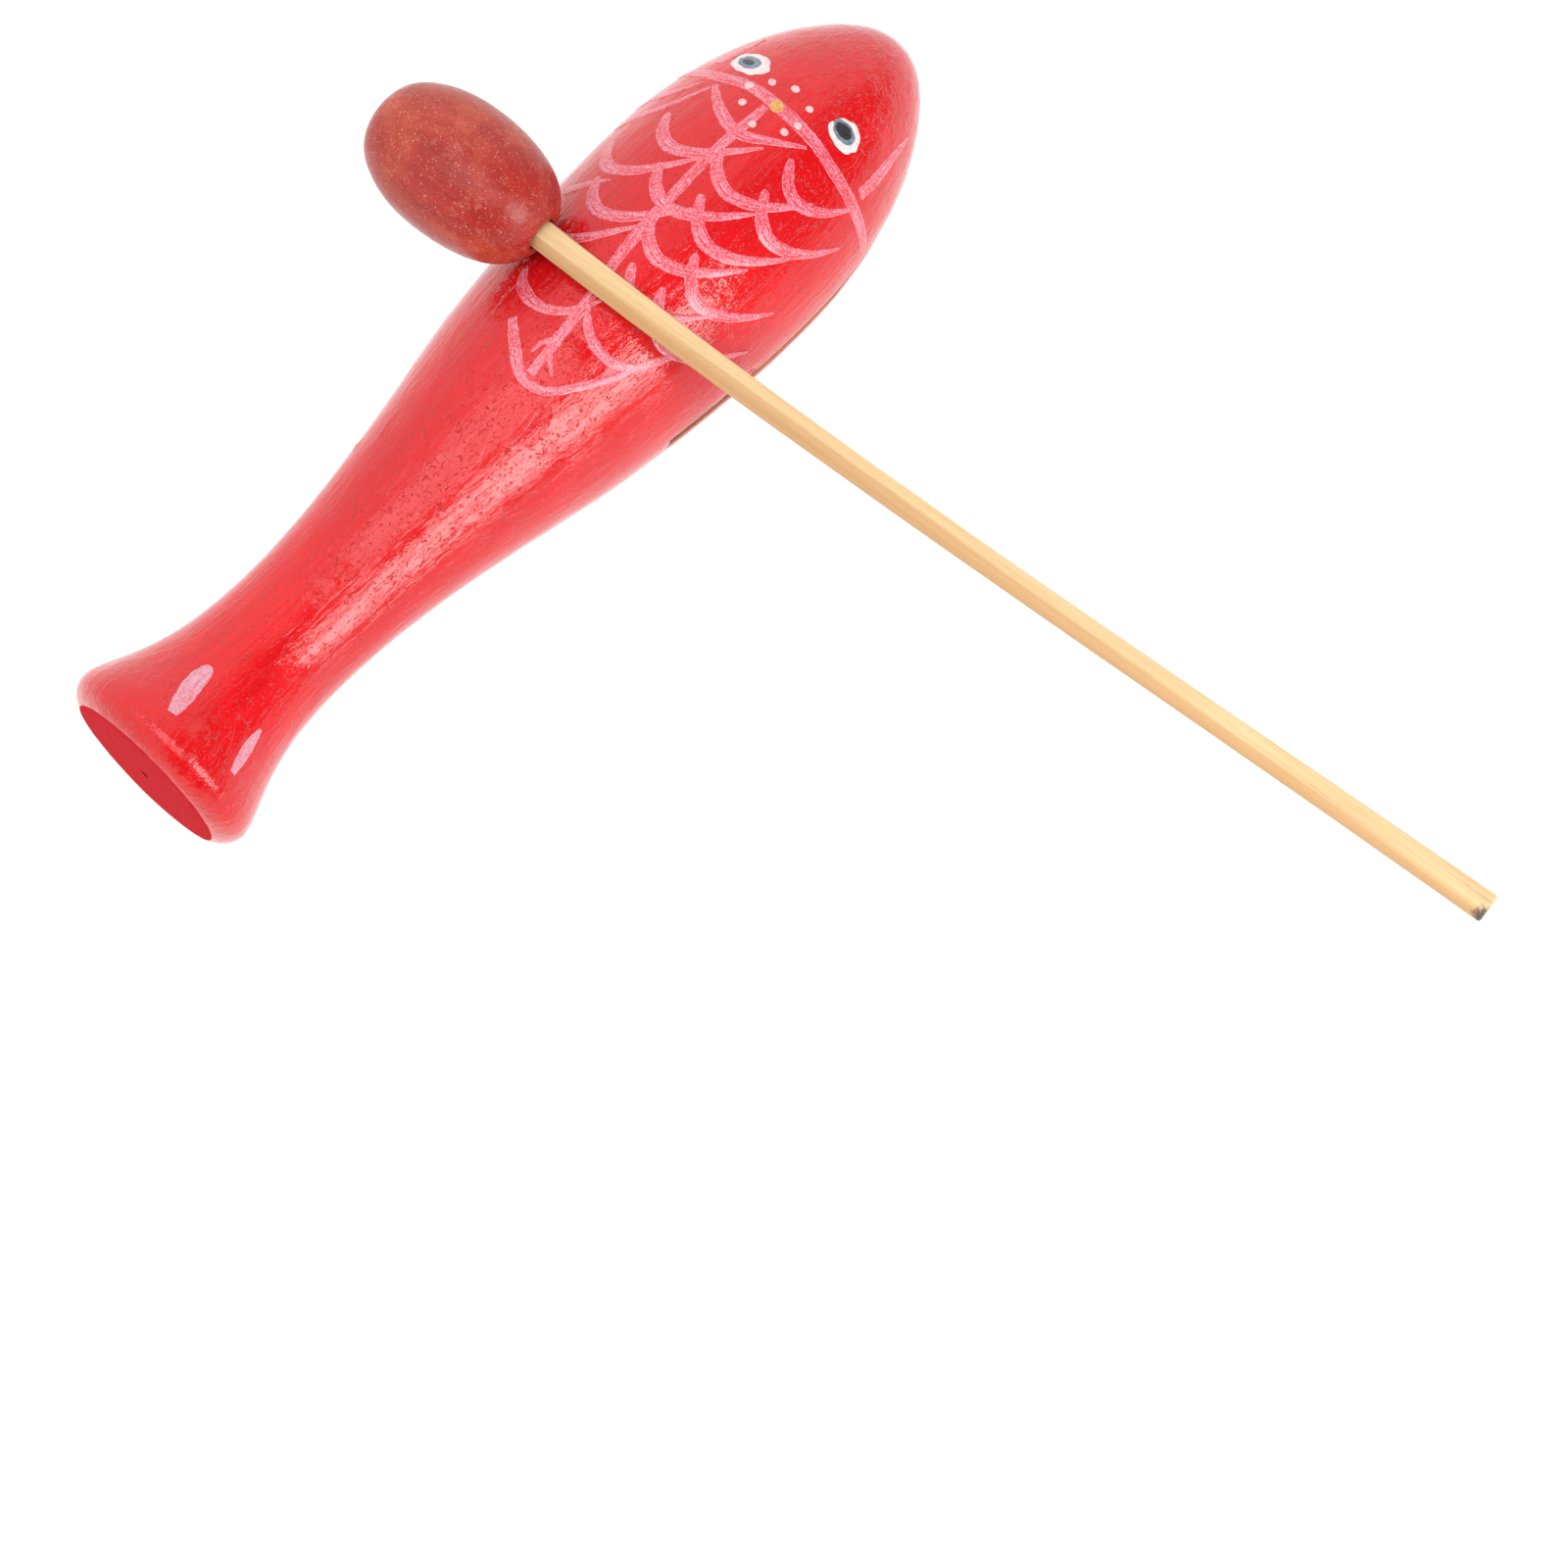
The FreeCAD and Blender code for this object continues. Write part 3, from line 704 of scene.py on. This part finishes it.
head_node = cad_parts["mallet_head"]
head_centre, head_facing = flat_end(head_node, Vector((1, 0, 0)))
head_matrix = turned_frame(head_centre, -head_facing)
head_outline = outline_of(
    head_node, head_matrix,
    lambda place, radius, angle: (radius > 5.3 * MM) | (place > 30 * MM), EGG_RINGS)
head_length = head_outline[-1, 0]
head_profile = [(BORE_DEPTH, BORE_RADIUS * 0.5), (BORE_DEPTH, BORE_RADIUS), (4 * MM, BORE_RADIUS),
                (0.5 * MM, BORE_RADIUS), (0.15 * MM, BORE_RADIUS + 0.12 * MM),
                (0.0, BORE_RADIUS + 0.4 * MM)]
head_profile += [tuple(pair) for pair in head_outline if pair[1] > 0.6 * MM]
head_points = []
for place, radius in head_profile:
    for segment in range(EGG_SEGMENTS):
        angle = 2 * math.pi * segment / EGG_SEGMENTS
        swell = 1 + 0.006 * noise.noise(Vector((
            math.sin(angle), place * 55, math.cos(angle)))) if radius > 5.3 * MM else 1
        head_points.append(head_matrix @ Vector((
            radius * swell * math.sin(angle), place, radius * swell * math.cos(angle))))
head_points.append(head_matrix @ Vector((0, BORE_DEPTH, 0)))
head_points.append(head_matrix @ Vector((0, head_length, 0)))

stain = Finish("pink_red_stain", head_matrix, {"Specular IOR Level": 0.4, "IOR": 1.42})
pores = stain.noise(1500, (1, 0.16, 1), 4, 0.7)
grain = stain.noise(240, (1, 0.12, 1), 4, 0.6, 0.6)
patches = stain.noise(52, (1, 0.7, 1), 5, 0.65, 0.6)
scuffs = stain.noise(420, (1, 0.7, 1), 5, 0.75)
specks = stain.noise(2300, (1, 1, 1), 1, 0.5)
tone = stain.blend(stain.between(grain, 0.3, 0.7), colour("93241d"), colour("a83027"))
tone = stain.blend(stain.between(patches, 0.5, 0.68, 0, 0.75), tone, colour("b84f33"))
tone = stain.blend(stain.between(pores, 0.55, 0.75, 0, 0.6), tone, colour("74211d"))
tone = stain.blend(stain.between(scuffs, 0.56, 0.7, 0, 0.45), tone, colour("cb7a6a"))
tone = stain.blend(stain.between(specks, 0.68, 0.72, 0, 0.75), tone, colour("d8aa9d"))
dimples = stain.noise(150, (1, 0.8, 1), 3, 0.55)
surface = stain.relief(dimples, 0.35 * MM)
surface = stain.relief(pores, 0.07 * MM, surface)
surface = stain.relief(scuffs, 0.09 * MM, surface)
stain.wire(Base_Color=tone, Roughness=stain.between(scuffs, 0.35, 0.65, 0.18, 0.4), Normal=surface)

mallet_egg = mesh_piece(
    "mallet_egg", head_points, skin_faces(len(head_profile), EGG_SEGMENTS), stain.material)
mallet_egg.data.set_sharp_from_angle(angle=SHARP_EDGE)
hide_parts("mallet_head")
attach(mallet_egg, "mallet")


# ---------------------------------------------------------------- mallet stick
# A split of pale straight-grained wood whittled nearly round, so flats still run along it, widest
# near the head. It bows slightly, is glued into the head's bore, and its sawn end is dirty.

STICK_RINGS = 260
STICK_SEGMENTS = 96
STICK_TENON = 13 * MM
STICK_CHAMFER = 0.5 * MM
DIRT_REACH = 3.4 * MM
STATIONS = [            # place along the stick (mm), radius (mm), bow to its side (mm)
    (0, 4.05, 0), (85, 3.65, 2.2), (180, 3.5, 1.6), (287.2, 3.9, 0)]
FLATS = [               # facing (degrees), half width (degrees), place (mm) where it runs out, depth
    (-8, 43, 330, 0.9), (66, 31, 150, 0.95), (125, 28, 330, 0.7), (180, 30, 240, 0.8),
    (-122, 34, 330, 0.7), (-70, 22, 190, 0.9), (40, 18, 420, 0.5), (100, 20, 420, 0.45)]

stick_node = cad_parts["mallet_stick"]
end_centre = flat_end(stick_node, Vector((1, 0, 0)))[0]
stick_matrix = turned_frame(head_centre, (end_centre - head_centre).normalized())
stick_length = (end_centre - head_centre).length
station = np.array(STATIONS) * MM
radius_curve = np.polyfit(station[:, 0], station[:, 1], 3)
bow_curve = np.polyfit(station[:, 0], station[:, 2], 3)


def stick_point(place, angle, shrink=0.0):
    """Point of the whittled surface, at a place in metres and an angle in radians."""
    along = max(place, 0)
    radius = float(np.polyval(radius_curve, along)) - shrink
    bow = float(np.polyval(bow_curve, along)) if place > 0 else 0
    shape = 1.0
    for facing, half_width, runs_out, depth in FLATS:
        wander = 7 * noise.noise(Vector((facing, along * 14, 0.5)))
        off = (angle - math.radians(facing + wander) + math.pi) % (2 * math.pi) - math.pi
        fade = min(max((runs_out * MM - along) / (60 * MM), 0.12), 1)
        if abs(off) < 1.3:
            flat = math.cos(math.radians(half_width)) / math.cos(off)
            shape = min(shape, 1 - depth * fade * max(1 - flat, 0))
    shape *= 1 + 0.012 * noise.noise(Vector((math.sin(angle) * 2, along * 90, math.cos(angle) * 2)))
    r = radius * shape
    return stick_matrix @ Vector((bow + r * math.sin(angle), place, r * math.cos(angle)))


stick_places = [-STICK_TENON] + list(np.linspace(0, stick_length - STICK_CHAMFER, STICK_RINGS))
stick_rows = [(-STICK_TENON, 2 * MM)] + [(place, 0.0) for place in stick_places]
stick_rows += [(stick_length - 0.15 * MM, 0.2 * MM), (stick_length, 0.55 * MM), (stick_length, 2 * MM)]
stick_points = []
for place, shrink in stick_rows:
    for segment in range(STICK_SEGMENTS):
        stick_points.append(stick_point(place, 2 * math.pi * segment / STICK_SEGMENTS, shrink))
stick_points.append(stick_matrix @ Vector((0, -STICK_TENON, 0)))
stick_points.append(stick_matrix @ Vector((0, stick_length, 0)))

pale_wood = Finish("pale_split_wood", stick_matrix, {"Specular IOR Level": 0.35})
fibre = pale_wood.noise(1500, (1, 0.02, 1), 4, 0.65)
vein = pale_wood.noise(420, (1, 0.012, 1), 3, 0.6)
tint = pale_wood.noise(90, (1, 0.1, 1), 3, 0.5)
ticks = pale_wood.noise(2600, (1, 0.05, 1), 2, 0.5)
tone = pale_wood.blend(pale_wood.between(fibre, 0.3, 0.7), colour("cfaa78"), colour("e0c194"))
tone = pale_wood.blend(pale_wood.between(tint, 0.4, 0.7, 0, 0.5), tone, colour("cfab80"))
tone = pale_wood.blend(pale_wood.between(vein, 0.58, 0.68, 0, 0.55), tone, colour("ad825a"))
tone = pale_wood.blend(pale_wood.between(ticks, 0.66, 0.74, 0, 0.5), tone, colour("9c734e"))
# The strip along the stick's +X side, its lower side as seen, is painted darker: painted shade of that
# facet, its edge wandering with the veins.
across = pale_wood.add("ShaderNodeSeparateXYZ", {"Vector": pale_wood.place}).node.outputs["X"]
shaded_lower_side = pale_wood.sum(across, pale_wood.between(vein, 0.3, 0.7, -0.5 * MM, 0.5 * MM))
shaded_lower_side = pale_wood.between(shaded_lower_side, 2.0 * MM, 2.8 * MM, 0, 0.75)
tone = pale_wood.blend(shaded_lower_side, tone, colour("bd9060"))
grime = pale_wood.tree.nodes.new("ShaderNodeAttribute")
grime.attribute_name = "grime"
dirt = pale_wood.noise(1300, (1, 1, 1), 4, 0.7)
amount = pale_wood.between(pale_wood.sum(grime.outputs["Fac"], dirt, "MULTIPLY"), 0.2, 0.42)
tone = pale_wood.blend(amount, tone, colour("4d4642"))
surface = pale_wood.relief(fibre, 0.07 * MM)
surface = pale_wood.relief(ticks, 0.05 * MM, surface)
pale_wood.wire(Base_Color=tone, Roughness=pale_wood.between(vein, 0.3, 0.7, 0.5, 0.68), Normal=surface)

whittled_stick = mesh_piece(
    "whittled_stick", stick_points, skin_faces(len(stick_rows), STICK_SEGMENTS), pale_wood.material)
dirty_spot = stick_matrix @ Vector((3.1 * MM, stick_length, 1.6 * MM))
reach = [math.exp(-((vertex.co - dirty_spot).length / DIRT_REACH) ** 2)
         for vertex in whittled_stick.data.vertices]
whittled_stick.data.attributes.new("grime", "FLOAT", "POINT").data.foreach_set("value", reach)
whittled_stick.data.set_sharp_from_angle(angle=SHARP_EDGE)
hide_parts("mallet_stick")
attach(whittled_stick, "mallet")


# ---------------------------------------------------------------- floor, lights and camera
# A white table lit from under, in a room with a pale wall on the left and a dim right side. One
# soft light stands low on the right and draws the bright band down the lacquer; one hangs above.

paper = Finish("lit_white_table", Matrix(), {
    "Roughness": 0.9, "Specular IOR Level": 0.0,
    "Emission Color": (1, 1, 1, 1), "Emission Strength": 0.85})
paper.wire(Base_Color=paper.blend(paper.noise(3, (1, 1, 1), 2), colour("949494"), colour("9a9a9a")))
floor = mesh_piece(
    "floor", [(-3, -3, 0), (3, -3, 0), (3, 3, 0), (-3, 3, 0)], [(0, 1, 2, 3)], paper.material)

LEFT_WALL = 1.4
RIGHT_SIDE = 0.12
world = bpy.data.worlds.new("room")
bpy.context.scene.world = world
world.use_nodes = True
room = Wiring(world.node_tree)
bearing = room.add("ShaderNodeTexCoord").node.outputs["Generated"]
bearing = room.add("ShaderNodeSeparateXYZ", {"Vector": bearing}).node.outputs["X"]
glow = room.add("ShaderNodeMapRange", {
    "Value": bearing, "From Min": -0.15, "From Max": 0.35, "To Min": LEFT_WALL, "To Max": RIGHT_SIDE},
    interpolation_type="SMOOTHSTEP")
room.tree.links.new(glow, room.tree.nodes["Background"].inputs["Strength"])
room.tree.nodes["Background"].inputs["Color"].default_value = (1, 1, 1, 1)


def soft_light(name, towards, distance, length, height, radiance):
    """A rectangular light of this brightness, in this direction from the middle of the object."""
    middle = Vector((0, -0.02, 0.03))
    light = bpy.data.lights.new(name, "AREA")
    light.shape = "RECTANGLE"
    light.size, light.size_y = length, height
    light.energy = radiance * math.pi * length * height
    lamp = bpy.data.objects.new(name, light)
    direction = Vector(towards).normalized()
    sideways = Vector((0, 1, 0)).cross(direction).normalized()
    lengthways = direction.cross(sideways)
    turned = Matrix((lengthways, direction.cross(lengthways), direction)).transposed()
    lamp.rotation_euler = turned.to_euler()
    lamp.location = middle + direction * distance
    lamp.visible_camera = False
    bpy.context.scene.collection.objects.link(lamp)


soft_light("overhead_light", (0.18, -0.3, 0.93), 1.5, 0.85, 1.1, 2.6)
soft_light("right_light", (0.89, -0.06, 0.454), 1.4, 0.66, 0.8, 10.0)

CAMERA_PLACE = (0.43567, -0.43078, 1.20032)
CAMERA_AZIMUTH = math.radians(43.383)
CAMERA_ELEVATION = math.radians(68.416)
camera_data = bpy.data.cameras.new("camera")
camera_data.lens = 117
camera_data.sensor_width = 36
camera = bpy.data.objects.new("camera", camera_data)
camera.location = CAMERA_PLACE
back = Vector((math.sin(CAMERA_AZIMUTH) * math.cos(CAMERA_ELEVATION),
               -math.cos(CAMERA_AZIMUTH) * math.cos(CAMERA_ELEVATION), math.sin(CAMERA_ELEVATION)))
right = Vector((math.cos(CAMERA_AZIMUTH), math.sin(CAMERA_AZIMUTH), 0))
camera.rotation_euler = Matrix((right, back.cross(right), back)).transposed().to_euler()
bpy.context.scene.collection.objects.link(camera)
bpy.context.scene.camera = camera
bpy.context.scene.view_settings.view_transform = "Standard"
